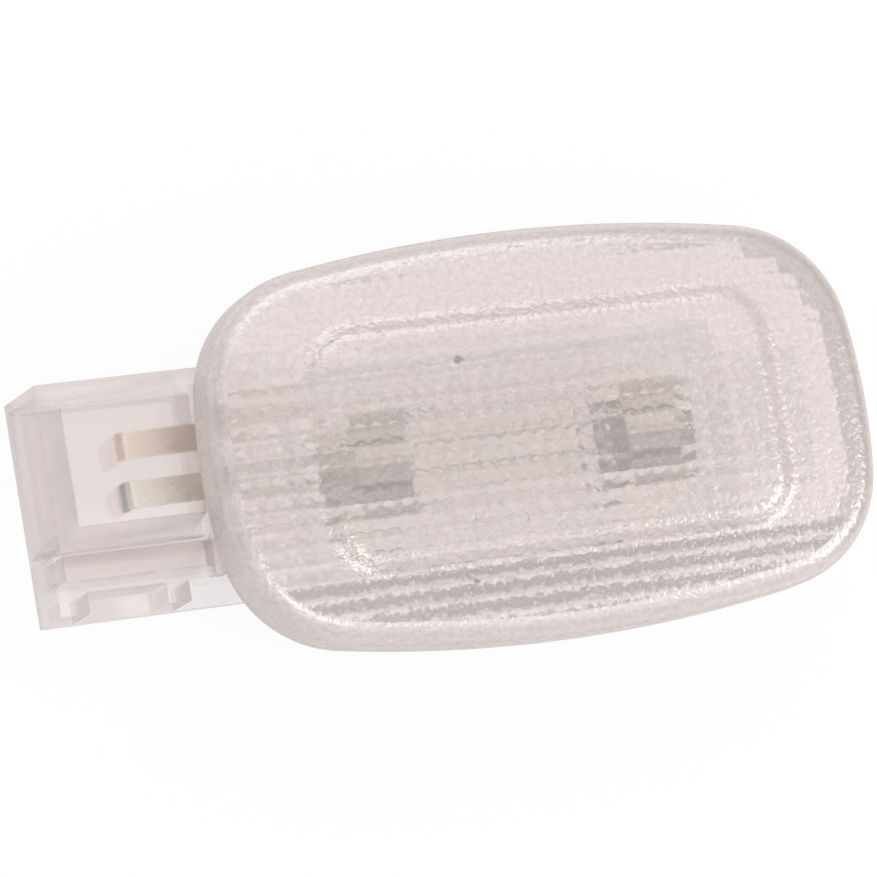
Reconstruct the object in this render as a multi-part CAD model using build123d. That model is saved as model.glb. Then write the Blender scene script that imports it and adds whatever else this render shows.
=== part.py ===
from build123d import *
from math import radians, tan
import os

# Snap-in car interior lamp: a clear prismatic lens on a clear base with a plug socket,
# two stamped contacts and a festoon bulb. Millimetres. The origin is on the panel seat
# plane under the middle of the lens, +Z comes out of the lens, the socket points to -X.

# Lens: outline, height above the panel seat, walls
lens_length = 73.0
lens_width = 42.9
lens_end_bulge = 2.5
lens_side_bulge = 3.75
lens_corner_radius = 13.0
lens_face_height = 6.2
lens_edge_radius = 2.4
lens_wall = 1.6
lens_shoulder = 0.8

# Lens: raised panel in the middle of the outer face
panel_length = 52.4
panel_width = 26.8
panel_bevel = 2.2
panel_rise = 0.7
panel_corner_radius = 6.0

# Lens: prism grid on the inner face, deep V grooves lengthwise and shallow ones across
prism_pitch = 1.87
prism_row_depth = 0.6
prism_column_depth = 0.3
prism_tip_z = 3.95
prism_row_shift = -0.6

# Bulb: a 41 mm festoon, axis along X
bulb_length = 41.0
bulb_axis_z = -3.5
bulb_center_x = -1.9
bulb_center_y = -0.8
cap_diameter = 8.5
cap_length = 8.5
cap_nose_length = 2.0
cap_nose_diameter = 4.0
cap_socket_depth = 4.5
cap_socket_clearance = 0.1
glass_neck_diameter = 7.2
glass_belly_diameter = 10.2
glass_wall = 0.5
glass_shoulder_length = 3.0
glass_mouth_diameter = 2.4
lead_diameter = 0.6
filament_diameter = 1.1
filament_length = 9.0

# Contacts: one width and thickness of brass strip, upright plug blades and bulb clips
strip_thickness = 0.5
blade_width = 2.8
blade_pitch = 5.08
blade_center_y = 2.4
blade_setback = 8.9
blade_recess = 2.0
blade_tip_chamfer = 0.7
strip_bend_radius = 0.6
strip_jog_x = -31.8
strip_jog_length = 3.0
long_strip_offset = 7.5
riser_gap = 1.0
clip_length = 7.0
clip_bend_radius = 0.8
clip_cap_clearance = 0.05
clip_lean_angle = 13.0
clip_flare = 1.0
clip_top_height = 4.2

# Base: flange, bulb chamber
base_depth = 14.5
flange_thickness = 1.6
flange_fit_gap = 0.15
base_wall = 1.5
chamber_end_room = 2.0
chamber_width = 19.4
chamber_corner_radius = 2.0
chamber_floor_z = -9.0
floor_thickness = 1.6
floor_rib_count = 3
slot_clearance = 0.15

# Base: plug shroud, a socket open at the back under a roof with sloped edges
shroud_reach = 51.8
shroud_width = 17.4
shroud_height = 11.5
shroud_center_y = 3.4
shroud_end_lean = 0.5
roof_thickness = 1.6
roof_rise = 0.8
roof_slope_angle = 70.0
socket_length = 15.8
socket_end_wall = 2.0
socket_draft_angle = 6.0
socket_mouth_chamfer = 0.5
bulkhead_thickness = 1.6
panel_stop_x = -29.0

# Base: notched ledge along one side of the shroud
ledge_width = 6.3
ledge_height = 8.7
ledge_notch_depth = 2.2
ledge_end_block = 3.1
ledge_notch_length = 8.5
ledge_rib = 2.4
gusset_x = -35.6
gusset_width = 4.2

# Base: guide walls and spring latch that hold the lamp in the panel cut-out
guide_offset_y = 14.2
guide_length = 25.0
guide_height = 9.0
guide_center_x = -1.0
latch_width = 8.0
latch_gap = 1.2
latch_thickness = 1.3
latch_length = 12.0
latch_outer_x = 31.0
latch_nose = 1.6
latch_nose_drop = 3.0
latch_nose_height = 4.0
latch_pocket_x = 24.4

back_z = -base_depth
floor_bottom = chamber_floor_z - floor_thickness
chamber_length = bulb_length + 2 * chamber_end_room
chamber_left = bulb_center_x - chamber_length / 2
chamber_low_y = bulb_center_y - chamber_width / 2
chamber_high_y = bulb_center_y + chamber_width / 2
shroud_end_x = -shroud_reach
shroud_inner_x = chamber_left - base_wall
shroud_top = back_z + shroud_height
shroud_low_y = shroud_center_y - shroud_width / 2
shroud_high_y = shroud_center_y + shroud_width / 2
roof_bottom = shroud_top - roof_thickness
socket_x = shroud_end_x + socket_end_wall
bulkhead_x = socket_x + socket_length
blade_x = shroud_end_x + blade_setback
short_blade_y = blade_center_y - blade_pitch / 2
long_blade_y = blade_center_y + blade_pitch / 2
long_strip_y = bulb_center_y + long_strip_offset
strip_top = roof_bottom - slot_clearance
roof_strip_z = strip_top - strip_thickness / 2
floor_strip_z = chamber_floor_z + strip_thickness / 2
riser_x = chamber_left + riser_gap
clip_offset_x = bulb_length / 2 - cap_nose_length - (cap_length - cap_nose_length) / 2


def block(low, high):
    """Box between two opposite corners."""
    size = [b - a for a, b in zip(low, high)]
    return Pos(*low) * Box(*size, align=(Align.MIN, Align.MIN, Align.MIN))


def lens_outline(inset=0.0):
    """Rectangle with bulged sides and round corners, drawn in by an inset."""
    half_length = lens_length / 2
    half_width = lens_width / 2
    corner_x = half_length - lens_end_bulge
    corner_y = half_width - lens_side_bulge
    sides = [
        ThreePointArc((corner_x, -corner_y), (half_length, 0), (corner_x, corner_y)),
        ThreePointArc((corner_x, corner_y), (0, half_width), (-corner_x, corner_y)),
        ThreePointArc((-corner_x, corner_y), (-half_length, 0), (-corner_x, -corner_y)),
        ThreePointArc((-corner_x, -corner_y), (0, -half_width), (corner_x, -corner_y)),
    ]
    face = make_face(sides)
    face = fillet(face.vertices(), lens_corner_radius)
    return offset(face, -inset) if inset else face


def prism_comb(span, depth, shift=0.0):
    """Zigzag profile of V grooves over a span, closed a little below the prism tips."""
    below = prism_tip_z - depth
    count = int(span / 2 / prism_pitch) + 2
    points = [(-count * prism_pitch + shift, below)]
    for i in range(-count, count):
        points.append((i * prism_pitch + shift, prism_tip_z))
        points.append(((i + 0.5) * prism_pitch + shift, prism_tip_z + depth))
    points.append((count * prism_pitch + shift, prism_tip_z))
    points.append((count * prism_pitch + shift, below))
    return make_face(Polyline(*points, close=True))


def panel_outline(spread):
    """Raised panel's outline, grown by a spread on every side."""
    length = panel_length + 2 * spread
    width = panel_width + 2 * spread
    return RectangleRounded(length, width, panel_corner_radius + spread)


def make_lens():
    """Cover with a rolled edge, a raised panel, a seat for the flange and prisms inside."""
    shell = extrude(lens_outline(), lens_face_height)
    shell = fillet(shell.faces().sort_by(Axis.Z)[-1].edges(), lens_edge_radius)
    foot = Pos(0, 0, lens_face_height) * panel_outline(0)
    top = Pos(0, 0, lens_face_height + panel_rise) * panel_outline(-panel_bevel)
    shell += loft([foot, top])
    shell -= extrude(lens_outline(lens_wall), flange_thickness)
    inner = lens_outline(lens_wall + lens_shoulder)
    shell -= extrude(inner, prism_tip_z)
    room = extrude(inner, prism_tip_z + 2 * prism_row_depth)
    row_comb = prism_comb(lens_width, prism_row_depth, prism_row_shift)
    rows = extrude(Plane.YZ * row_comb, lens_length / 2, both=True)
    columns = extrude(Plane.XZ * prism_comb(lens_length, prism_column_depth), lens_width / 2, both=True)
    shell -= rows & room
    shell -= columns & room
    return shell


def rounded_prism(length, width, radius, low, high):
    """Upright prism over the chamber's middle with rounded corners."""
    sketch = Pos(bulb_center_x, bulb_center_y, low) * RectangleRounded(length, width, radius)
    return extrude(sketch, high - low)


def make_chamber():
    """Bulb chamber: walls down to the back, a floor for the contacts and ribs under the floor."""
    outer_length = chamber_length + 2 * base_wall
    outer_width = chamber_width + 2 * base_wall
    outer_radius = chamber_corner_radius + base_wall
    walls = rounded_prism(outer_length, outer_width, outer_radius, back_z, flange_thickness)
    inside = (chamber_length, chamber_width, chamber_corner_radius)
    walls -= rounded_prism(*inside, chamber_floor_z, flange_thickness)
    walls -= rounded_prism(*inside, back_z, floor_bottom)
    step = chamber_length / (floor_rib_count + 1)
    for i in range(floor_rib_count):
        x = chamber_left + (i + 1) * step
        half = base_wall / 2
        walls += block((x - half, chamber_low_y, back_z), (x + half, chamber_high_y, floor_bottom))
    return walls


def make_ledge():
    """Hollow ledge beside the shroud with two notches in its outer face and a gusset on top."""
    low_y = shroud_low_y - ledge_width
    top = back_z + ledge_height
    ledge = block((shroud_end_x, low_y, back_z), (shroud_inner_x, shroud_low_y, top))
    ledge -= block(
        (shroud_end_x + base_wall, low_y + ledge_notch_depth + base_wall, back_z),
        (shroud_inner_x, shroud_low_y, top - base_wall),
    )
    first = shroud_end_x + ledge_end_block
    for start in (first, first + ledge_notch_length + ledge_rib):
        ledge -= block(
            (start, low_y, back_z + base_wall),
            (start + ledge_notch_length, low_y + ledge_notch_depth, top),
        )
    gusset_y = shroud_low_y - gusset_width
    gusset = block((gusset_x, gusset_y, top), (gusset_x + base_wall, shroud_low_y, shroud_top))
    return ledge + gusset


def shroud_slice(low_x, high_x, inset, z):
    """Rectangle across the shroud between two X places, drawn in at the sides."""
    width = shroud_width - 2 * inset
    return Pos((low_x + high_x) / 2, shroud_center_y, z) * Rectangle(high_x - low_x, width)


def make_shroud():
    """Plug shroud with its socket, the strip channel behind it, ledge and panel stop."""
    eaves = shroud_top - roof_rise
    side = Polyline(
        (shroud_end_x, back_z),
        (shroud_end_x + shroud_end_lean, eaves),
        (shroud_inner_x, eaves),
        (shroud_inner_x, back_z),
        close=True,
    )
    body = Pos(0, shroud_center_y, 0) * extrude(Plane.XZ * make_face(side), shroud_width / 2, both=True)
    roof = shroud_slice(shroud_end_x + shroud_end_lean, chamber_left, 0, eaves)
    body += extrude(roof, roof_rise, taper=roof_slope_angle)
    body += make_ledge()
    cavity_height = roof_bottom - back_z
    socket = extrude(
        shroud_slice(socket_x, bulkhead_x, base_wall, back_z), cavity_height, taper=socket_draft_angle
    )
    lead_in = extrude(
        shroud_slice(
            socket_x - socket_mouth_chamfer,
            bulkhead_x + socket_mouth_chamfer,
            base_wall - socket_mouth_chamfer,
            back_z,
        ),
        2 * socket_mouth_chamfer,
        taper=45,
    )
    body -= socket
    body -= lead_in
    channel_start = bulkhead_x + bulkhead_thickness
    body -= extrude(shroud_slice(channel_start, shroud_inner_x, base_wall, back_z), cavity_height)
    stop = block((panel_stop_x, shroud_low_y, eaves), (panel_stop_x + base_wall, shroud_high_y, 0))
    return body + stop


def make_guides():
    """Two side walls under the flange that centre the lamp in the panel cut-out."""
    low_x = guide_center_x - guide_length / 2
    high_x = low_x + guide_length
    near = block((low_x, guide_offset_y - base_wall, -guide_height), (high_x, guide_offset_y, 0))
    return [near, mirror(near, about=Plane.XZ)]


def make_latch():
    """Spring tongue with a snap nose, hung from the flange inside a U-shaped pocket wall."""
    inner_x = latch_outer_x - latch_thickness
    nose_top = -latch_nose_drop
    profile = Polyline(
        (inner_x, 0),
        (inner_x, -latch_length),
        (latch_outer_x, -latch_length),
        (latch_outer_x, nose_top - latch_nose_height),
        (latch_outer_x + latch_nose, nose_top - latch_nose / 2),
        (latch_outer_x + latch_nose, nose_top),
        (latch_outer_x, nose_top),
        (latch_outer_x, 0),
        close=True,
    )
    tongue = extrude(Plane.XZ * make_face(profile), latch_width / 2, both=True)
    half_pocket = latch_width / 2 + latch_gap
    outer_half = half_pocket + base_wall
    inside_x = latch_pocket_x + base_wall
    outer = block((latch_pocket_x, -outer_half, -guide_height), (latch_outer_x, outer_half, 0))
    inner = block((inside_x, -half_pocket, -guide_height), (latch_outer_x, half_pocket, 0))
    return tongue, outer - inner


def make_base():
    """The whole clear base moulding."""
    flange = extrude(lens_outline(lens_wall + flange_fit_gap), flange_thickness)
    flange -= rounded_prism(chamber_length, chamber_width, chamber_corner_radius, 0, flange_thickness)
    half_pocket = latch_width / 2 + latch_gap
    flange -= block(
        (latch_pocket_x + base_wall, -half_pocket, 0),
        (latch_outer_x - latch_thickness, half_pocket, flange_thickness),
    )
    base = flange + make_chamber() + make_shroud()
    base += make_guides()
    base += make_latch()
    half_width = blade_width / 2 + slot_clearance
    slot_z = strip_top - strip_thickness
    bulkhead_end = bulkhead_x + bulkhead_thickness
    slot_start = bulkhead_x - (roof_bottom - back_z) * tan(radians(socket_draft_angle))
    wall_end = chamber_left + chamber_corner_radius
    for y in (short_blade_y, long_blade_y):
        base -= block((slot_start, y - half_width, slot_z), (bulkhead_end, y + half_width, roof_bottom))
    for y in (short_blade_y, long_strip_y):
        base -= block((shroud_inner_x, y - half_width, slot_z), (wall_end, y + half_width, roof_bottom))
    return base


def bent_strip(points, y):
    """Strip that runs along X at a given Y and bends up and down through the points."""
    line = FilletPolyline(*points, radius=strip_bend_radius)
    return Pos(0, y, 0) * extrude(Plane.XZ * trace(line, strip_thickness), blade_width / 2, both=True)


def with_tip(strip):
    """The strip with the corners of its blade tip cut off."""
    corners = strip.edges().filter_by(Axis.X).group_by(Axis.Z)[0]
    return chamfer(corners, blade_tip_chamfer)


def make_clip(x):
    """Sprung bulb clip: a flat foot and two arms that lean in over the cap and flare out on top."""
    half_gap = cap_diameter / 2 + clip_cap_clearance + strip_thickness / 2
    top_z = bulb_axis_z + clip_top_height
    lean_start = half_gap * tan(radians(clip_lean_angle / 2))
    lean_end = clip_top_height - clip_flare
    waist = half_gap - (lean_end - lean_start) * tan(radians(clip_lean_angle))
    right = [
        (half_gap, floor_strip_z),
        (half_gap, bulb_axis_z + lean_start),
        (waist, bulb_axis_z + lean_end),
        (waist + clip_flare, top_z),
    ]
    left = [(-y, z) for y, z in reversed(right)]
    line = FilletPolyline(*left, *right, radius=clip_bend_radius)
    sheet = trace(line, strip_thickness)
    return Pos(x, bulb_center_y, 0) * extrude(Plane.YZ * sheet, clip_length / 2, both=True)


def make_contacts():
    """Short and long contact stampings, each with its blade, strip and clip."""
    near_clip_x = bulb_center_x - clip_offset_x
    far_clip_x = bulb_center_x + clip_offset_x
    far_end_x = far_clip_x + clip_length / 2
    blade = [(blade_x, back_z + blade_recess), (blade_x, roof_strip_z)]
    riser = [(riser_x, roof_strip_z), (riser_x, floor_strip_z)]
    short = with_tip(bent_strip(blade + riser + [(near_clip_x, floor_strip_z)], short_blade_y))
    short += make_clip(near_clip_x)
    jog_end = strip_jog_x + strip_jog_length
    jog = [
        (strip_jog_x - blade_width, long_blade_y),
        (strip_jog_x, long_blade_y),
        (jog_end, long_strip_y),
        (jog_end + blade_width, long_strip_y),
    ]
    tab = block(
        (far_clip_x - clip_length / 2, bulb_center_y, chamber_floor_z),
        (far_end_x, long_strip_y, chamber_floor_z + strip_thickness),
    )
    long = with_tip(bent_strip(blade + [(strip_jog_x, roof_strip_z)], long_blade_y))
    long += extrude(Pos(0, 0, strip_top) * trace(Polyline(*jog), blade_width), -strip_thickness)
    long += bent_strip([(jog_end, roof_strip_z)] + riser + [(far_end_x, floor_strip_z)], long_strip_y)
    long += tab
    long += make_clip(far_clip_x)
    return short, long


def on_bulb_axis(profile):
    """Turned piece from a profile drawn with X along the bulb axis and Y as radius."""
    return Pos(bulb_center_x, bulb_center_y, bulb_axis_z) * revolve(make_face(profile), Axis.X)


def make_cap():
    """End cap at +X: cylinder, blunt conical nose, socket for the glass neck."""
    tip = bulb_length / 2
    open_end = tip - cap_length
    socket_radius = glass_neck_diameter / 2 + cap_socket_clearance
    return on_bulb_axis(
        Polyline(
            (open_end, socket_radius),
            (open_end, cap_diameter / 2),
            (tip - cap_nose_length, cap_diameter / 2),
            (tip, cap_nose_diameter / 2),
            (tip, 0),
            (open_end + cap_socket_depth, 0),
            (open_end + cap_socket_depth, socket_radius),
            close=True,
        )
    )


def make_glass():
    """Barrel-shaped glass tube with necks in the caps and a small mouth at each end for the leads."""
    neck_start = bulb_length / 2 - cap_length
    neck_end = neck_start + cap_socket_depth - cap_socket_clearance
    belly_end = neck_start - glass_shoulder_length
    neck = glass_neck_diameter / 2
    belly = glass_belly_diameter / 2
    mouth = glass_mouth_diameter / 2
    inner_end = neck_end - glass_wall
    outside = [(belly_end, belly), (neck_start, neck), (neck_end, neck), (neck_end, mouth)]
    inside = [
        (inner_end, mouth),
        (inner_end, neck - glass_wall),
        (neck_start, neck - glass_wall),
        (belly_end, belly - glass_wall),
    ]
    half = outside + inside
    other_half = [(-x, r) for x, r in reversed(half)]
    return on_bulb_axis(Polyline(*half, *other_half, close=True))


def axis_rod(start, end, diameter):
    """Round rod along the bulb axis between two distances from the bulb's middle."""
    rod = Cylinder(diameter / 2, end - start, rotation=(0, 90, 0))
    return Pos(bulb_center_x + (start + end) / 2, bulb_center_y, bulb_axis_z) * rod


def bulb_mirror(piece):
    """The same piece at the other end of the bulb."""
    return mirror(piece, about=Plane.YZ.offset(bulb_center_x))


def make_bulb():
    """Festoon bulb: glass, caps, leads and filament."""
    cap = make_cap()
    lead_end = bulb_length / 2 - cap_length + cap_socket_depth
    lead = axis_rod(filament_length / 2, lead_end, lead_diameter)
    return {
        "bulb_glass": make_glass(),
        "bulb_cap_right": cap,
        "bulb_cap_left": bulb_mirror(cap),
        "bulb_lead_right": lead,
        "bulb_lead_left": bulb_mirror(lead),
        "filament": axis_rod(-filament_length / 2, filament_length / 2, filament_diameter),
    }


short_contact, long_contact = make_contacts()
nodes = {
    "lens_cover": make_lens(),
    "base_housing": make_base(),
    "contact_short": short_contact,
    "contact_long": long_contact,
}
nodes.update(make_bulb())

os.makedirs("parts", exist_ok=True)
for name, shape in nodes.items():
    export_step(shape, f"parts/{name}.step")
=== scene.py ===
import math

import bmesh
import bpy
import numpy as np
from mathutils import Matrix, Vector


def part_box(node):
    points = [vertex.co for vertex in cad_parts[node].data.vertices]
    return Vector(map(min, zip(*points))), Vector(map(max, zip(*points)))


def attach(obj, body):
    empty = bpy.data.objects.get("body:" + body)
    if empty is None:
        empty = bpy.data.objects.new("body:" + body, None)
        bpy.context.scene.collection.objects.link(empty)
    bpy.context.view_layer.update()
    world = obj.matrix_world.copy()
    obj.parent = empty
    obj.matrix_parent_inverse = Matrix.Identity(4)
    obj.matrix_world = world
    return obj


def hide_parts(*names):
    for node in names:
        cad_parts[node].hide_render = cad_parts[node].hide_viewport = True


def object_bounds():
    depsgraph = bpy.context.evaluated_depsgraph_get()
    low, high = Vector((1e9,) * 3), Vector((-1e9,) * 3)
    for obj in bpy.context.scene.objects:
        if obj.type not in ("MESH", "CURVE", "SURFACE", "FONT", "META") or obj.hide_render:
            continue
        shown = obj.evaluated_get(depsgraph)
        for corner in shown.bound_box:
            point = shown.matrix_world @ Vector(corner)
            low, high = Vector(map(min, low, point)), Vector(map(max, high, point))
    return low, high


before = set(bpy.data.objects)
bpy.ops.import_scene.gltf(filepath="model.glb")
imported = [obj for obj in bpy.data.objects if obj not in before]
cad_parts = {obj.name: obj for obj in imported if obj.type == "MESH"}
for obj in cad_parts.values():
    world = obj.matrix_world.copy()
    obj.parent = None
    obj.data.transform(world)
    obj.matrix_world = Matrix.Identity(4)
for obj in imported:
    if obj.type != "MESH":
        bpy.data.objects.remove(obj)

# Looks of the car interior lamp: a clear prismatic lens on a clear base, brass contacts and a bulb.
# Sizes are in millimetres in the shared frame. Meshes, lamps and camera are written in metres.

cad_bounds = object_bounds()
MM = 0.001
TINY = 1e-9

# Lens outline, walls and raised panel, as in the part's source
LENS_END_BULGE = 2.5
LENS_SIDE_BULGE = 3.75
LENS_CORNER_RADIUS = 13.0
LENS_EDGE_RADIUS = 2.4
LENS_WALL = 1.6
LENS_SHOULDER = 0.8
LENS_FACE_HEIGHT = 6.2
FLANGE_TOP = 1.6
PANEL_LENGTH = 52.4
PANEL_WIDTH = 26.8
PANEL_BEVEL = 2.2
PANEL_CORNER_RADIUS = 6.0

# Lens sizes that only the visual model has: the face's crown and the air over the flange
FACE_CROWN = 0.25
FLANGE_AIR = 0.05

# Prism grid, with the part's pitch, shift and tip and with shallower, rounded prisms
PRISM_PITCH = 1.87
PRISM_ROW_SHIFT = -0.6
PRISM_ROW_DEPTH = 0.4
PRISM_ROW_FADE = 0.3
PRISM_COLUMN_DEPTH = 0.22
PRISM_TIP = 3.95
PRISM_CURVE = 1.25
WALL_STARTS_BELOW_TIP = 0.3

# Fineness of the lens mesh, with shares of one step of a sheet
PRISM_STEPS = 8
OUTER_STEP = 0.5
EDGE_STEPS = 8
EDGE_MARGIN = 1.0
SHEET_RIM_SHARE = 0.2
SHEET_MERGE_SHARE = 0.15
LENS_SHARP_DEGREES = 30.0

# Base, with the X where the shroud's haze ends
BASE_EDGE_RADIUS = 0.25
BASE_MERGE_DISTANCE = 0.001
BASE_FLAT_DEGREES = 0.5
BASE_ROUND_DEGREES = 30.0
BASE_SHARP_DEGREES = 35.0
SHROUD_HAZE_X = -34.0

# Filament coil
COIL_TURNS = 16
COIL_TURN_STEPS = 16
COIL_WIRE_RADIUS = 0.09
COIL_WIRE_SIDES = 6
COIL_SHARP_DEGREES = 60.0

# Dirt flecks: the reach of each corner as a share of a fleck's size
FLECK_REACH = (0.55, 0.38, 0.47, 0.3, 0.5, 0.42, 0.34)
FLECK_AIR = 0.01
FLECK_THICKNESS = 0.05
FLECK_SHARP_DEGREES = 30.0

# Colours, with a pair where a material varies between two
LENS_TINT = (0.94, 0.88, 0.865, 1.0)
GRAIN_SHADE = (0.84, 0.775, 0.76, 1.0)
# Painted shade of the prism lines
ROW_PAINTED_SHADE = (0.11, 0.10, 0.095, 1.0)
BASE_TINT = (0.97, 0.94, 0.93, 1.0)
SHROUD_TINT = (0.92, 0.85, 0.835, 1.0)
AMBER_BRASS = ((0.98, 0.88, 0.77, 1.0), (1.0, 0.93, 0.84, 1.0))
# Painted shade at the bend of the amber contact
AMBER_BEND_PAINTED_SHADE = (0.62, 0.50, 0.42, 1.0)
PALE_BRASS = ((0.95, 0.94, 0.84, 1.0), (1.0, 0.99, 0.91, 1.0))
# Painted shade at the bend of the pale contact
PALE_BEND_PAINTED_SHADE = (0.22, 0.25, 0.27, 1.0)
BLADE_TINT = (1.0, 0.95, 0.93, 1.0)
CAP_BRASS = ((0.95, 0.90, 0.76, 1.0), (1.0, 0.97, 0.86, 1.0))
# Painted shade of the bulb caps: the near half, then the far end of the right cap
CAP_PAINTED_SHADE = (0.52, 0.46, 0.41, 1.0)
CAP_END_PAINTED_SHADE = (0.10, 0.095, 0.09, 1.0)
GLASS_TINT = (0.97, 0.95, 0.93, 1.0)
LEAD_WIRE = ((0.55, 0.52, 0.48, 1.0), (0.65, 0.62, 0.58, 1.0))
TUNGSTEN = ((0.30, 0.29, 0.28, 1.0), (0.42, 0.40, 0.38, 1.0))
DIRT = ((0.05, 0.025, 0.018, 1.0), (0.18, 0.10, 0.07, 1.0))
FLOOR_GREY = (0.9, 0.9, 0.9, 1.0)
FLOOR_TONE = (0.76, 0.69, 0.675, 1.0)
FLOOR_WHITE = (1.0, 1.0, 1.0, 1.0)
WORLD_COLOR = (1.0, 0.98, 0.97, 1.0)
LAMP_COLOR = (1.0, 0.97, 0.95)

# Noise scales, counted per metre, and depths of the plastics' grain
POLISH_SCALE = 300.0
LENS_GRAIN_SCALE = 1800.0
LENS_GRAIN_DEPTH = 0.1
PRISM_GRAIN_SCALE = 800.0
PRISM_GRAIN_DEPTH = 0.004
BASE_GRAIN_SCALE = 500.0
BASE_GRAIN_DEPTH = 0.006
LINE_SCALE = 1500.0
METAL_SCALE = 400.0
METAL_DETAIL = 4.0
GLASS_SCALE = 200.0
DIRT_SCALE = 3000.0

# Roughness limits
LENS_ROUGHNESS = (0.12, 0.18)
SKIN_ROUGHNESS = 0.22
PRISM_ROUGHNESS = (0.04, 0.08)
BASE_ROUGHNESS = (0.14, 0.20)
SHROUD_ROUGHNESS = (0.16, 0.24)
BRASS_ROUGHNESS = (0.22, 0.32)
CAP_ROUGHNESS = (0.18, 0.3)
WIRE_ROUGHNESS = (0.3, 0.45)
TUNGSTEN_ROUGHNESS = (0.35, 0.5)
GLASS_ROUGHNESS = (0.0, 0.03)
DIRT_ROUGHNESS = 0.8
FLOOR_ROUGHNESS = 0.9

# Optics of the clear pieces
PLASTIC_IOR = 1.49
SKIN_IOR = 2.0
GLASS_IOR = 1.5
FACE_CLARITY = 0.76
RIM_CLARITY = 0.4
RIM_HAZE_LOW_Z = 5.0
RIM_HAZE_HIGH_Z = 6.05
LIGHT_BOUNCES = 24

# Painted shade on the prism flanks: line edges as shares of the pitch, then the near rows and a window
# round the bulb
LINE_CORE = 0.18
LINE_EDGE = 0.38
LINE_WANDER = 0.5
ROW_PAINTED_SHADE_Y = -13.7
NEAR_ROWS_START_Y = -12.2
NEAR_ROWS_FULL_Y = -13.4
FAR_ROWS_SHARE = 0.06
WINDOW_SHARE = 0.28
WINDOW_FADE = 1.5
WINDOW_SPANS = (("X", -3.0, 20.0), ("Y", -1.0, 9.5))

# Heights between which the contacts change colour: painted shade at the bend, then the pale upright blade
BEND_SHADE_FADE_Z = (-5.2, -5.5)
AMBER_BLADE_FADE_Z = (-5.8, -6.4)
PALE_BLADE_FADE_Z = (-7.4, -8.0)

# Bulb caps: the painted shade's place across from the axis, then the distance of the painted dark strip
# from the far end
CAP_PAINTED_SHADE_START = 0.6
CAP_PAINTED_SHADE_FULL = -0.8
CAP_END_SHADE_START = 2.4
CAP_END_SHADE_FULL = 2.0

# Studio
LAMP_DISTANCE = 500.0
FLOOR_HALF_SIZE = 600.0
FLOOR_SHADOW_SHARE = 0.06
WORLD_LOW_STRENGTH = 0.42
WORLD_HIGH_STRENGTH = 1.05
WORLD_LOW_RISE = 0.4
WORLD_HIGH_RISE = 0.95

# Camera, from the lens outline and the socket's corners in the photograph
PICTURE_SIZE = 877.0
FOCAL_PIXELS = 4823.5
SENSOR_WIDTH = 36.0
CAMERA_DISTANCE = 500.0
CAMERA_CLIP_START = 10.0
CAMERA_AIM = Vector((-10.392, 1.107, 0.0))
CAMERA_SLOPE = Vector((-0.3473, -0.1387))
CAMERA_ROLL = -0.12069


def lens_sizes():
    """Half length, half width and height of the lens, in millimetres."""
    low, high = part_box("lens_cover")
    return (high[0] - low[0]) / 2 / MM, (high[1] - low[1]) / 2 / MM, high[2] / MM


class Outline:
    """Rectangle with bulged sides and round corners, told by depths and outward normals."""

    def __init__(self, half_length, half_width, end_bulge, side_bulge, corner_radius):
        corner_x = half_length - end_bulge
        corner_y = half_width - side_bulge
        self.half_length = half_length
        self.half_width = half_width
        self.end_radius = (corner_y**2 + end_bulge**2) / (2 * end_bulge)
        self.side_radius = (corner_x**2 + side_bulge**2) / (2 * side_bulge)
        self.end_center = np.array([half_length - self.end_radius, 0.0])
        self.side_center = np.array([0.0, half_width - self.side_radius])
        self.corner_radius = corner_radius
        self.corner_center = self.meeting(self.end_radius - corner_radius, self.side_radius - corner_radius)

    def meeting(self, end_reach, side_reach):
        """Point in the first quadrant at the given reaches from the two side arcs' centres."""
        across = self.side_center - self.end_center
        gap = np.hypot(*across)
        along = (end_reach**2 - side_reach**2 + gap**2) / (2 * gap)
        rise = math.sqrt(end_reach**2 - along**2)
        unit = across / gap
        foot = self.end_center + along * unit
        turned = np.array([-unit[1], unit[0]])
        return max((foot + rise * turned, foot - rise * turned), key=lambda point: point.sum())

    def locate(self, x, y):
        """Depth inside the outline and the outward normal there, for arrays of points."""
        point = np.stack([np.abs(x), np.abs(y)], -1)
        choices = []
        for center, radius in (
            (self.end_center, self.end_radius),
            (self.side_center, self.side_radius),
            (self.corner_center, self.corner_radius),
        ):
            arm = point - center
            reach = np.maximum(np.linalg.norm(arm, axis=-1), TINY)
            choices.append((radius - reach, arm / reach[..., None]))
        (end_depth, end_normal), (side_depth, side_normal), (corner_depth, corner_normal) = choices
        by_end = (end_depth < side_depth)[..., None]
        depth = np.minimum(end_depth, side_depth)
        normal = np.where(by_end, end_normal, side_normal)
        end_ray = self.corner_center - self.end_center
        side_ray = self.corner_center - self.side_center
        past_end = end_ray[0] * corner_normal[..., 1] - end_ray[1] * corner_normal[..., 0] > 0
        before_side = corner_normal[..., 0] * side_ray[1] - corner_normal[..., 1] * side_ray[0] > 0
        in_corner = past_end & before_side
        depth = np.where(in_corner, corner_depth, depth)
        normal = np.where(in_corner[..., None], corner_normal, normal)
        signs = np.stack([np.where(x < 0, -1.0, 1.0), np.where(y < 0, -1.0, 1.0)], -1)
        return depth, normal * signs

    def moved(self, x, y, inset):
        """The points moved along their normals onto the outline drawn in by an inset."""
        depth, normal = self.locate(x, y)
        push = depth - inset
        return x + push * normal[..., 0], y + push * normal[..., 1]


def smooth_step(t):
    """Eased rise from 0 to 1, flat at both ends."""
    t = np.clip(t, 0.0, 1.0)
    return t * t * (3 - 2 * t)


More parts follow.
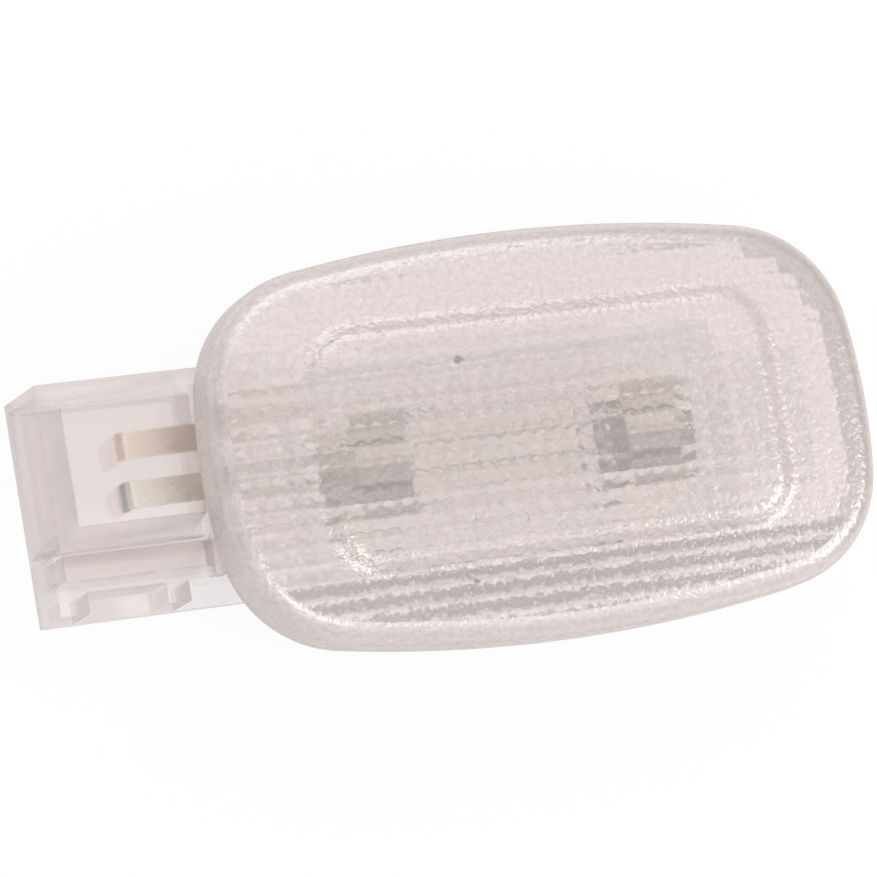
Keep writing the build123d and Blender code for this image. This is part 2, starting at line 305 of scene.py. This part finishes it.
def outer_height(x, y, half_length, half_width, top):
    """Outer face of the lens: a gentle crown with the raised panel in the middle."""
    reach_x = np.abs(x) - PANEL_LENGTH / 2 + PANEL_CORNER_RADIUS
    reach_y = np.abs(y) - PANEL_WIDTH / 2 + PANEL_CORNER_RADIUS
    outside = np.hypot(np.maximum(reach_x, 0), np.maximum(reach_y, 0))
    inside = np.minimum(np.maximum(reach_x, reach_y), 0)
    past_edge = outside + inside - PANEL_CORNER_RADIUS
    rise = (top - LENS_FACE_HEIGHT) * smooth_step(-past_edge / PANEL_BEVEL)
    crown = FACE_CROWN * ((x / half_length) ** 2 + (y / half_width) ** 2)
    return LENS_FACE_HEIGHT + rise - crown


def inner_height(x, y, half_width):
    """Prism side of the lens: lengthwise rows, deeper towards the near side, and shallow columns."""
    u = (x / PRISM_PITCH + 0.5) % 1.0 - 0.5
    v = ((y - PRISM_ROW_SHIFT) / PRISM_PITCH + 0.5) % 1.0 - 0.5
    row_depth = PRISM_ROW_DEPTH * (1 - PRISM_ROW_FADE * y / half_width)
    row_sink = row_depth * np.abs(2 * v) ** PRISM_CURVE
    column_sink = PRISM_COLUMN_DEPTH * np.abs(2 * u) ** PRISM_CURVE
    return PRISM_TIP + np.maximum(row_sink, column_sink)


def snapped_sheet(outline, inset, step, height):
    """Sheet of squares inside an outline drawn in by an inset, with its rim moved onto that outline."""
    count_x = int(outline.half_length / step) + 1
    count_y = int(outline.half_width / step) + 1
    x, y = np.meshgrid(
        np.arange(-count_x, count_x + 1) * step,
        np.arange(-count_y, count_y + 1) * step,
        indexing="ij",
    )
    depth, _ = outline.locate(x, y)
    kept = depth > inset + SHEET_RIM_SHARE * step
    cell = kept[:-1, :-1] & kept[1:, :-1] & kept[:-1, 1:] & kept[1:, 1:]
    uses = np.zeros(x.shape, int)
    for i in (0, 1):
        for j in (0, 1):
            uses[i:i + cell.shape[0], j:j + cell.shape[1]] += cell
    rim = (uses > 0) & (uses < 4)
    snapped_x, snapped_y = outline.moved(x, y, inset)
    z = height(x, y)
    x = np.where(rim, snapped_x, x)
    y = np.where(rim, snapped_y, y)
    number = np.full(x.shape, -1)
    number[uses > 0] = np.arange((uses > 0).sum())
    points = np.stack([x, y, z], -1)[uses > 0]
    squares = np.stack([number[:-1, :-1], number[1:, :-1], number[1:, 1:], number[:-1, 1:]], -1)[cell]
    mesh = bpy.data.meshes.new("sheet")
    mesh.from_pydata(points.tolist(), [], squares.tolist())
    sheet = bmesh.new()
    sheet.from_mesh(mesh)
    bpy.data.meshes.remove(mesh)
    bmesh.ops.remove_doubles(sheet, verts=sheet.verts, dist=SHEET_MERGE_SHARE * step)
    return sheet


def rim_edges(sheet):
    """Open edges of a sheet."""
    return [edge for edge in sheet.edges if edge.is_boundary]


def grow_rings(sheet, outline, profile):
    """Carries the open rim of a sheet along a profile of (inset, height) pairs."""
    edges = rim_edges(sheet)
    for inset, height in profile:
        grown = bmesh.ops.extrude_edge_only(sheet, edges=edges)["geom"]
        points = [item for item in grown if isinstance(item, bmesh.types.BMVert)]
        edges = [item for item in grown if isinstance(item, bmesh.types.BMEdge)]
        x = np.array([point.co.x for point in points])
        y = np.array([point.co.y for point in points])
        x, y = outline.moved(x, y, inset)
        for point, a, b in zip(points, x, y):
            point.co = (a, b, height)


def close_skirt(shape, outline):
    """Joins the outer and inner rims of the lens under its skirt with a band of triangles."""
    rims = {True: [], False: []}
    for point in {corner for edge in rim_edges(shape) for corner in edge.verts}:
        depth, _ = outline.locate(np.array(point.co.x), np.array(point.co.y))
        rims[bool(depth < LENS_WALL / 2)].append((math.atan2(point.co.y, point.co.x), point.index, point))
    outer, inner = (sorted(rims[side]) for side in (True, False))
    outer, inner = (rim + [(rim[0][0] + 2 * math.pi,) + rim[0][1:]] for rim in (outer, inner))
    i = j = 0
    while i < len(outer) - 1 or j < len(inner) - 1:
        step_outer = j == len(inner) - 1 or (i < len(outer) - 1 and outer[i + 1][0] < inner[j + 1][0])
        ahead = outer[i + 1][2] if step_outer else inner[j + 1][2]
        shape.faces.new((outer[i][2], ahead, inner[j][2]))
        i, j = (i + 1, j) if step_outer else (i, j + 1)


def finish_piece(shape, name, materials, sharp_degrees, slot_name, *nodes):
    """Turns a mesh in millimetres into a piece that rides on the object and stands for CAD nodes."""
    bmesh.ops.recalc_face_normals(shape, faces=shape.faces)
    bmesh.ops.scale(shape, vec=(MM, MM, MM), verts=shape.verts)
    mesh = bpy.data.meshes.new(name)
    shape.to_mesh(mesh)
    shape.free()
    mesh.shade_smooth()
    mesh.set_sharp_from_angle(angle=math.radians(sharp_degrees))
    for material in materials:
        mesh.materials.append(material)
    piece = bpy.data.objects.new(name, mesh)
    bpy.context.scene.collection.objects.link(piece)
    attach(piece, "root")
    if nodes:
        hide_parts(*nodes)


def prism_side(outline):
    """Mesh of the lens's inner side: the prism grid, the shoulder and the inner wall."""
    inset = LENS_WALL + LENS_SHOULDER
    shoulder = FLANGE_TOP + FLANGE_AIR

    def prism_height(x, y):
        return inner_height(x, y, outline.half_width)

    shape = snapped_sheet(outline, inset, PRISM_PITCH / PRISM_STEPS, prism_height)
    grow_rings(shape, outline, [(inset, shoulder), (LENS_WALL, shoulder), (LENS_WALL, 0.0)])
    for face in shape.faces:
        face.material_index = 1 if face.calc_center_median().z > PRISM_TIP - WALL_STARTS_BELOW_TIP else 2
    mesh = bpy.data.meshes.new("inner")
    shape.to_mesh(mesh)
    shape.free()
    return mesh


def rolled_edge():
    """Pairs of inset and height from the lens face round its edge and down the skirt."""
    edge_top = LENS_FACE_HEIGHT - FACE_CROWN
    rolled = []
    for i in range(EDGE_STEPS + 1):
        turn = math.pi / 2 * (1 - i / EDGE_STEPS)
        inset = LENS_EDGE_RADIUS * (1 - math.cos(turn))
        rolled.append((inset, edge_top - LENS_EDGE_RADIUS * (1 - math.sin(turn))))
    return rolled + [(0.0, 0.0)]


def make_lens(outer_material, inner_material, wall_material):
    """Clear cover with a rolled edge and a pillow grid inside."""
    half_length, half_width, top = lens_sizes()
    outline = Outline(half_length, half_width, LENS_END_BULGE, LENS_SIDE_BULGE, LENS_CORNER_RADIUS)

    def face_height(x, y):
        return outer_height(x, y, half_length, half_width, top)

    inner_mesh = prism_side(outline)
    shape = snapped_sheet(outline, LENS_EDGE_RADIUS + EDGE_MARGIN, OUTER_STEP, face_height)
    grow_rings(shape, outline, rolled_edge())
    shape.from_mesh(inner_mesh)
    bpy.data.meshes.remove(inner_mesh)
    shape.verts.index_update()
    close_skirt(shape, outline)
    materials = [outer_material, inner_material, wall_material]
    finish_piece(shape, "lens_cover_clear", materials, LENS_SHARP_DEGREES, "lens_plastic", "lens_cover")


def rounded_copy(node, radius, flat_degrees, round_degrees):
    """Copy of a CAD node in millimetres, its flat faces joined and its sharp edges rounded."""
    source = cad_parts[node]
    shape = bmesh.new()
    shape.from_mesh(source.data)
    bmesh.ops.transform(shape, matrix=source.matrix_world, verts=shape.verts)
    bmesh.ops.scale(shape, vec=(1 / MM, 1 / MM, 1 / MM), verts=shape.verts)
    bmesh.ops.remove_doubles(shape, verts=shape.verts, dist=BASE_MERGE_DISTANCE)
    bmesh.ops.dissolve_limit(
        shape, angle_limit=math.radians(flat_degrees), verts=shape.verts, edges=shape.edges
    )
    sharp = [
        edge for edge in shape.edges
        if edge.is_manifold and edge.calc_face_angle() > math.radians(round_degrees)
    ]
    bmesh.ops.bevel(
        shape, geom=sharp, offset=radius, offset_type="OFFSET", segments=2, profile=0.5,
        affect="EDGES", clamp_overlap=True,
    )
    return shape


def make_base(flange_material, chamber_material, shroud_material):
    """Base moulding, clearest in the flange under the lens and haziest in the plug shroud."""
    shape = rounded_copy("base_housing", BASE_EDGE_RADIUS, BASE_FLAT_DEGREES, BASE_ROUND_DEGREES)
    for face in shape.faces:
        middle = face.calc_center_median()
        face.material_index = 2 if middle.x < SHROUD_HAZE_X else int(middle.z < 0)
    materials = [flange_material, chamber_material, shroud_material]
    finish_piece(shape, "base_housing_clear", materials, BASE_SHARP_DEGREES, "base_plastic", "base_housing")


def make_filament(material):
    """Coiled tungsten wire between the bulb's leads."""
    low, high = (Vector(corner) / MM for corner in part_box("filament"))
    middle = (low + high) / 2
    radius = (high.z - low.z) / 2 - COIL_WIRE_RADIUS
    along = COIL_TURNS * COIL_TURN_STEPS
    shape = bmesh.new()
    rings = []
    for i in range(along + 1):
        turn = 2 * math.pi * COIL_TURNS * i / along
        x = low.x + COIL_WIRE_RADIUS + (high.x - low.x - 2 * COIL_WIRE_RADIUS) * i / along
        outward = Vector((0, math.cos(turn), math.sin(turn)))
        center = Vector((x, middle.y, middle.z)) + radius * outward
        ring = []
        for j in range(COIL_WIRE_SIDES):
            spin = 2 * math.pi * j / COIL_WIRE_SIDES
            offset = math.cos(spin) * outward + math.sin(spin) * Vector((1, 0, 0))
            ring.append(shape.verts.new(center + COIL_WIRE_RADIUS * offset))
        rings.append(ring)
    for first, second in zip(rings, rings[1:]):
        for j in range(COIL_WIRE_SIDES):
            k = (j + 1) % COIL_WIRE_SIDES
            shape.faces.new((first[j], first[k], second[k], second[j]))
    shape.faces.new(rings[0])
    shape.faces.new(rings[-1])
    finish_piece(shape, "filament_coil", [material], COIL_SHARP_DEGREES, "filament_wire", "filament")


def make_fleck(name, x, y, size, material):
    """Flake of dirt caught under the prism grid."""
    shape = bmesh.new()
    top = PRISM_TIP - FLECK_AIR
    rings = []
    for z in (top, top - FLECK_THICKNESS):
        ring = []
        for i, share in enumerate(FLECK_REACH):
            turn = 2 * math.pi * i / len(FLECK_REACH)
            reach = size * share
            ring.append(shape.verts.new((x + reach * math.cos(turn), y + reach * math.sin(turn), z)))
        shape.faces.new(ring)
        rings.append(ring)
    for i in range(len(FLECK_REACH)):
        j = (i + 1) % len(FLECK_REACH)
        shape.faces.new((rings[0][i], rings[0][j], rings[1][j], rings[1][i]))
    finish_piece(shape, name, [material], FLECK_SHARP_DEGREES, "lens_plastic")


def make_material(name, **settings):
    """Principled material with the given socket values, their names written with underscores."""
    material = bpy.data.materials.new(name)
    material.use_nodes = True
    shader = material.node_tree.nodes["Principled BSDF"]
    for socket, value in settings.items():
        shader.inputs[socket.replace("_", " ")].default_value = value
    return material


def add_noise(material, scale, detail=2.0):
    """Noise in object coordinates; returns its value socket."""
    tree = material.node_tree
    place = tree.nodes.new("ShaderNodeTexCoord")
    noise = tree.nodes.new("ShaderNodeTexNoise")
    noise.inputs["Scale"].default_value = scale
    noise.inputs["Detail"].default_value = detail
    tree.links.new(place.outputs["Object"], noise.inputs["Vector"])
    return noise.outputs["Fac"]


def add_bump(material, value, depth):
    """Surface grain of a depth in millimetres from a value socket."""
    tree = material.node_tree
    bump = tree.nodes.new("ShaderNodeBump")
    bump.inputs["Strength"].default_value = 1.0
    bump.inputs["Distance"].default_value = depth * MM
    tree.links.new(value, bump.inputs["Height"])
    tree.links.new(bump.outputs["Normal"], tree.nodes["Principled BSDF"].inputs["Normal"])


def map_range(tree, value, start, end, low, high, easing="LINEAR"):
    """Socket that goes from low to high while a value goes from start to end."""
    spread = tree.nodes.new("ShaderNodeMapRange")
    spread.interpolation_type = easing
    for name, number in (("From Min", start), ("From Max", end), ("To Min", low), ("To Max", high)):
        spread.inputs[name].default_value = number
    tree.links.new(value, spread.inputs["Value"])
    return spread.outputs["Result"]


def add_range(material, value, socket, low, high, start=0.3, end=0.7):
    """Drives a number socket of the shader between two limits."""
    tree = material.node_tree
    result = map_range(tree, value, start, end, low, high)
    tree.links.new(result, tree.nodes["Principled BSDF"].inputs[socket])


def add_place(tree, coordinates="Object"):
    """Sockets for X, Y and Z of a coordinate kind; object coordinates are in metres."""
    place = tree.nodes.new("ShaderNodeTexCoord")
    split = tree.nodes.new("ShaderNodeSeparateXYZ")
    tree.links.new(place.outputs[coordinates], split.inputs["Vector"])
    return split.outputs


def add_math(tree, operation, first, second):
    """Result of a math node on two values, each a socket or a number."""
    node = tree.nodes.new("ShaderNodeMath")
    node.operation = operation
    for socket, value in zip(node.inputs, (first, second)):
        if isinstance(value, float):
            socket.default_value = value
        else:
            tree.links.new(value, socket)
    return node.outputs[0]


def add_tint(material, value, low, high, start=0.35, end=0.65):
    """Drives the base colour between two colours."""
    tree = material.node_tree
    ramp = tree.nodes.new("ShaderNodeValToRGB")
    ramp.color_ramp.elements[0].position = start
    ramp.color_ramp.elements[1].position = end
    ramp.color_ramp.elements[0].color = low
    ramp.color_ramp.elements[1].color = high
    tree.links.new(value, ramp.inputs["Fac"])
    tree.links.new(ramp.outputs["Color"], tree.nodes["Principled BSDF"].inputs["Base Color"])


def mix_colors(tree, factor, first, second):
    """Mix node for two colours, each a socket or a colour; returns its result socket."""
    mix = tree.nodes.new("ShaderNodeMix")
    mix.data_type = "RGBA"
    tree.links.new(factor, mix.inputs["Factor"])
    for name, value in (("A", first), ("B", second)):
        if isinstance(value, tuple):
            mix.inputs[name].default_value = value
        else:
            tree.links.new(value, mix.inputs[name])
    return mix.outputs["Result"]


def clear_plastic(name, tint, clarity, cover, grain_scale, grain_depth, roughness):
    """Slightly milky moulded plastic with a fine grain; a cover below 1 lets thin walls fade."""
    material = make_material(
        name, Base_Color=tint, Transmission_Weight=clarity, Alpha=cover, IOR=PLASTIC_IOR
    )
    add_range(material, add_noise(material, POLISH_SCALE), "Roughness", *roughness)
    add_bump(material, add_noise(material, grain_scale), grain_depth)
    return material


def gloss_skin(material):
    """Adds a glossy skin that follows the grain."""
    tree = material.node_tree
    shader = tree.nodes["Principled BSDF"]
    shader.inputs["Coat Weight"].default_value = 1.0
    shader.inputs["Coat IOR"].default_value = SKIN_IOR
    shader.inputs["Coat Roughness"].default_value = SKIN_ROUGHNESS
    tree.links.new(shader.inputs["Normal"].links[0].from_socket, shader.inputs["Coat Normal"])


def frost_rim(material):
    """Makes the rolled edge of the lens hazier than its face."""
    height = add_place(material.node_tree)["Z"]
    limits = (RIM_HAZE_LOW_Z * MM, RIM_HAZE_HIGH_Z * MM)
    add_range(material, height, "Transmission Weight", RIM_CLARITY, FACE_CLARITY, *limits)


def painted_shade_lines(tree, along, first, rough_edge):
    """Rough-edged lines of painted shade one prism apart, the first at the given place along an axis."""
    turns = add_math(tree, "DIVIDE", add_math(tree, "SUBTRACT", along, first * MM), PRISM_PITCH * MM)
    # Folded at half a pitch, so that it counts from the nearest line
    distance = add_math(tree, "PINGPONG", add_math(tree, "ADD", turns, rough_edge), 0.5)
    return map_range(tree, distance, LINE_CORE, LINE_EDGE, 1.0, 0.0)


def bulb_window_painted_shade(tree, place):
    """Socket for the faint painted shade round the bulb, fading to nothing outside a rectangle."""
    window = WINDOW_SHARE
    for axis, middle, reach in WINDOW_SPANS:
        away = add_math(tree, "SUBTRACT", place[axis], middle * MM)
        away = add_math(tree, "MAXIMUM", away, add_math(tree, "MULTIPLY", away, -1.0))
        inside = map_range(tree, away, reach * MM, (reach + WINDOW_FADE) * MM, 1.0, 0.0)
        window = add_math(tree, "MULTIPLY", inside, window)
    return window


def paint_prism_shade(material):
    """Darkens one flank of the prisms with painted shade, strongly in the near rows and faintly in a window
    round the bulb.
    """
    tree = material.node_tree
    place = add_place(tree)
    rough_edge = map_range(tree, add_noise(material, LINE_SCALE), 0.0, 1.0, -LINE_WANDER, LINE_WANDER)
    rows = painted_shade_lines(tree, place["Y"], ROW_PAINTED_SHADE_Y, rough_edge)
    columns = painted_shade_lines(tree, place["X"], PRISM_PITCH / 2, rough_edge)
    near = map_range(
        tree, place["Y"], NEAR_ROWS_START_Y * MM, NEAR_ROWS_FULL_Y * MM, FAR_ROWS_SHARE, 1.0
    )
    window = bulb_window_painted_shade(tree, place)
    rows = add_math(tree, "MULTIPLY", rows, add_math(tree, "MAXIMUM", near, window))
    columns = add_math(tree, "MULTIPLY", columns, window)
    shade = add_math(tree, "MAXIMUM", rows, columns)
    # Painted shade: the prism lines are darkened in the base colour
    add_tint(material, shade, LENS_TINT, ROW_PAINTED_SHADE, start=0.0, end=1.0)


def metal(name, colors, roughness):
    """Sheet metal with slightly uneven colour and polish."""
    material = make_material(name, Metallic=1.0)
    cloud = add_noise(material, METAL_SCALE, METAL_DETAIL)
    add_tint(material, cloud, *colors)
    add_range(material, cloud, "Roughness", *roughness)
    return material


def shade_along(material, axis, shade, start, end):
    """Fades the colour into another one between two places along an axis."""
    tree = material.node_tree
    color = tree.nodes["Principled BSDF"].inputs["Base Color"]
    factor = map_range(tree, add_place(tree)[axis], start * MM, end * MM, 0.0, 1.0)
    tree.links.new(mix_colors(tree, factor, color.links[0].from_socket, shade), color)


def lens_outer_plastic():
    """Outer side of the lens: fine grain with a slight change of tone, a glossy skin and a hazy rim."""
    material = clear_plastic(
        "lens_outer", LENS_TINT, clarity=FACE_CLARITY, cover=1.0,
        grain_scale=LENS_GRAIN_SCALE, grain_depth=LENS_GRAIN_DEPTH, roughness=LENS_ROUGHNESS,
    )
    gloss_skin(material)
    frost_rim(material)
    add_tint(material, add_noise(material, LENS_GRAIN_SCALE), GRAIN_SHADE, LENS_TINT, start=0.4, end=0.6)
    return material


def lens_inner_plastic(name, cover):
    """Smooth clear plastic of the lens's inner side."""
    return clear_plastic(
        name, LENS_TINT, clarity=1.0, cover=cover,
        grain_scale=PRISM_GRAIN_SCALE, grain_depth=PRISM_GRAIN_DEPTH, roughness=PRISM_ROUGHNESS,
    )


def base_plastic(name, tint, clarity, cover, roughness):
    """Clear plastic of the base."""
    return clear_plastic(name, tint, clarity, cover, BASE_GRAIN_SCALE, BASE_GRAIN_DEPTH, roughness)


def contact_brass(name, colors, bend_painted_shade, blade_fade):
    """Brass with painted shade at the bend below the flat strip, paling in the upright blade."""
    material = metal(name, colors, BRASS_ROUGHNESS)
    # Painted shade at the bend
    shade_along(material, "Z", bend_painted_shade, *BEND_SHADE_FADE_Z)
    shade_along(material, "Z", BLADE_TINT, *blade_fade)
    return material


def cap_brass(side):
    """Brass of a bulb cap with painted shade on its near half; the right cap ends in a strip of painted
    shade.
    """
    low, high = (Vector(corner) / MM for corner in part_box("bulb_cap_" + side))
    axis_y = (low.y + high.y) / 2
    material = metal("cap_brass_" + side, CAP_BRASS, CAP_ROUGHNESS)
    # Painted shade on the near half of the cap
    shade_along(material, "Y", CAP_PAINTED_SHADE, axis_y + CAP_PAINTED_SHADE_START, axis_y + CAP_PAINTED_SHADE_FULL)
    if side == "right":
        # Painted shade at the far end of the right cap
        shade_along(material, "X", CAP_END_PAINTED_SHADE, high.x - CAP_END_SHADE_START, high.x - CAP_END_SHADE_FULL)
    return material


def clear_glass():
    """Glass of the bulb."""
    material = make_material(
        "bulb_glass", Base_Color=GLASS_TINT, Transmission_Weight=1.0, IOR=GLASS_IOR
    )
    add_range(material, add_noise(material, GLASS_SCALE), "Roughness", *GLASS_ROUGHNESS)
    return material


def dirt_specks():
    """Dull brown dirt."""
    material = make_material("dirt", Roughness=DIRT_ROUGHNESS)
    add_tint(material, add_noise(material, DIRT_SCALE), *DIRT)
    return material


def paint_node(name, material):
    """Gives a CAD node its material."""
    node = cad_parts[name]
    node.data.materials.clear()
    node.data.materials.append(material)


def dress_lens():
    """Lens with its three plastics."""
    inner = lens_inner_plastic("lens_inner", cover=1.0)
    # Painted shade on the prism flanks
    paint_prism_shade(inner)
    make_lens(lens_outer_plastic(), inner, lens_inner_plastic("lens_wall", cover=0.15))


def dress_base():
    """Base with its three plastics."""
    flange = base_plastic("base_flange", BASE_TINT, clarity=0.95, cover=0.25, roughness=BASE_ROUGHNESS)
    chamber = base_plastic("base_chamber", BASE_TINT, clarity=0.92, cover=0.4, roughness=BASE_ROUGHNESS)
    shroud = base_plastic("shroud_hazy", SHROUD_TINT, clarity=0.8, cover=0.75, roughness=SHROUD_ROUGHNESS)
    make_base(flange, chamber, shroud)


def scatter_dirt():
    """The three specks that the photograph shows under the lens."""
    dirt = dirt_specks()
    make_fleck("dirt_fleck_1", x=-8.6, y=8.25, size=1.1, material=dirt)
    make_fleck("dirt_fleck_2", x=-10.6, y=-14.7, size=0.9, material=dirt)
    make_fleck("dirt_fleck_3", x=-4.0, y=-9.1, size=0.6, material=dirt)


def dress_contacts():
    """Amber long contact and pale short contact, both with painted shade at the bend."""
    paint_node("contact_long", contact_brass("brass_amber", AMBER_BRASS, AMBER_BEND_PAINTED_SHADE, AMBER_BLADE_FADE_Z))
    paint_node("contact_short", contact_brass("brass_pale", PALE_BRASS, PALE_BEND_PAINTED_SHADE, PALE_BLADE_FADE_Z))


def dress_bulb():
    """Glass, caps and leads of the bulb."""
    wire = metal("lead_wire", LEAD_WIRE, WIRE_ROUGHNESS)
    paint_node("bulb_glass", clear_glass())
    for side in ("left", "right"):
        paint_node("bulb_cap_" + side, cap_brass(side))
        paint_node("bulb_lead_" + side, wire)


def area_lamp(name, direction, width, height, watts):
    """Soft box aimed at the object from a direction and not seen through the plastic."""
    data = bpy.data.lights.new(name, "AREA")
    data.shape = "RECTANGLE"
    data.size = width * MM
    data.size_y = height * MM
    data.energy = watts
    data.color = LAMP_COLOR
    lamp = bpy.data.objects.new(name, data)
    lamp.location = Vector(direction).normalized() * LAMP_DISTANCE * MM
    lamp.rotation_euler = Vector(direction).to_track_quat("Z", "Y").to_euler()
    lamp.visible_transmission = False
    bpy.context.scene.collection.objects.link(lamp)


def floor_paint():
    """Looks white by itself and pale warm through the plastic, with a faint shadow."""
    material = make_material("floor", Base_Color=FLOOR_GREY, Roughness=FLOOR_ROUGHNESS)
    tree = material.node_tree
    path = tree.nodes.new("ShaderNodeLightPath")
    by_camera = path.outputs["Is Camera Ray"]
    seen = by_camera
    for name in ("Is Glossy Ray", "Is Transmission Ray"):
        seen = add_math(tree, "MAXIMUM", seen, path.outputs[name])
    shine = tree.nodes.new("ShaderNodeEmission")
    tree.links.new(mix_colors(tree, by_camera, FLOOR_TONE, FLOOR_WHITE), shine.inputs["Color"])
    mix = tree.nodes.new("ShaderNodeMixShader")
    tree.links.new(add_math(tree, "MULTIPLY", seen, 1.0 - FLOOR_SHADOW_SHARE), mix.inputs["Fac"])
    tree.links.new(tree.nodes["Principled BSDF"].outputs[0], mix.inputs[1])
    tree.links.new(shine.outputs[0], mix.inputs[2])
    tree.links.new(mix.outputs[0], tree.nodes["Material Output"].inputs["Surface"])
    return material


def make_floor():
    """Square floor at the object's lowest point."""
    reach = FLOOR_HALF_SIZE * MM
    z = cad_bounds[0][2]
    corners = [(reach * x, reach * y, z) for x, y in ((-1, -1), (1, -1), (1, 1), (-1, 1))]
    mesh = bpy.data.meshes.new("floor")
    mesh.from_pydata(corners, [], [(0, 1, 2, 3)])
    mesh.materials.append(floor_paint())
    floor = bpy.data.objects.new("floor", mesh)
    bpy.context.scene.collection.objects.link(floor)


def make_world():
    """Soft light all round, brighter overhead."""
    world = bpy.data.worlds.new("studio")
    world.use_nodes = True
    tree = world.node_tree
    shade = tree.nodes["Background"]
    shade.inputs["Color"].default_value = WORLD_COLOR
    strength = map_range(
        tree, add_place(tree, "Generated")["Z"], WORLD_LOW_RISE, WORLD_HIGH_RISE,
        WORLD_LOW_STRENGTH, WORLD_HIGH_STRENGTH, "SMOOTHSTEP",
    )
    tree.links.new(strength, shade.inputs["Strength"])
    bpy.context.scene.world = world


def make_studio():
    """World, floor and three soft boxes."""
    make_world()
    make_floor()
    area_lamp("back_lamp", direction=(0.1, 0.62, 0.77), width=360.0, height=160.0, watts=0.32)
    area_lamp("right_lamp", direction=(0.7, -0.2, 0.68), width=200.0, height=200.0, watts=0.5)
    area_lamp("front_lamp", direction=(-0.05, -0.3, 0.95), width=180.0, height=180.0, watts=0.36)


def make_camera():
    """Camera over the lens, aimed through the picture's middle."""
    slope = CAMERA_SLOPE
    back = Vector((slope.x, slope.y, math.sqrt(1 - slope.x**2 - slope.y**2)))
    right = (Vector((1, 0, 0)) - slope.x * back).normalized()
    up = back.cross(right)
    turned_right = math.cos(CAMERA_ROLL) * right + math.sin(CAMERA_ROLL) * up
    turned_up = back.cross(turned_right)
    data = bpy.data.cameras.new("camera")
    data.sensor_width = SENSOR_WIDTH
    data.lens = SENSOR_WIDTH * FOCAL_PIXELS / PICTURE_SIZE
    data.clip_start = CAMERA_CLIP_START * MM
    camera = bpy.data.objects.new("camera", data)
    place = (CAMERA_AIM + back * CAMERA_DISTANCE) * MM
    turn = Matrix((turned_right, turned_up, back)).transposed().to_4x4()
    camera.matrix_world = Matrix.Translation(place) @ turn
    bpy.context.scene.collection.objects.link(camera)
    bpy.context.scene.camera = camera


def set_rendering():
    """Plain view of colours and enough bounces for the layers of plastic."""
    scene = bpy.context.scene
    scene.view_settings.view_transform = "Standard"
    scene.cycles.max_bounces = LIGHT_BOUNCES
    scene.cycles.transmission_bounces = LIGHT_BOUNCES
    scene.cycles.transparent_max_bounces = LIGHT_BOUNCES


dress_lens()
make_filament(metal("tungsten", TUNGSTEN, TUNGSTEN_ROUGHNESS))
dress_base()
scatter_dirt()
dress_contacts()
dress_bulb()
make_studio()
make_camera()
set_rendering()
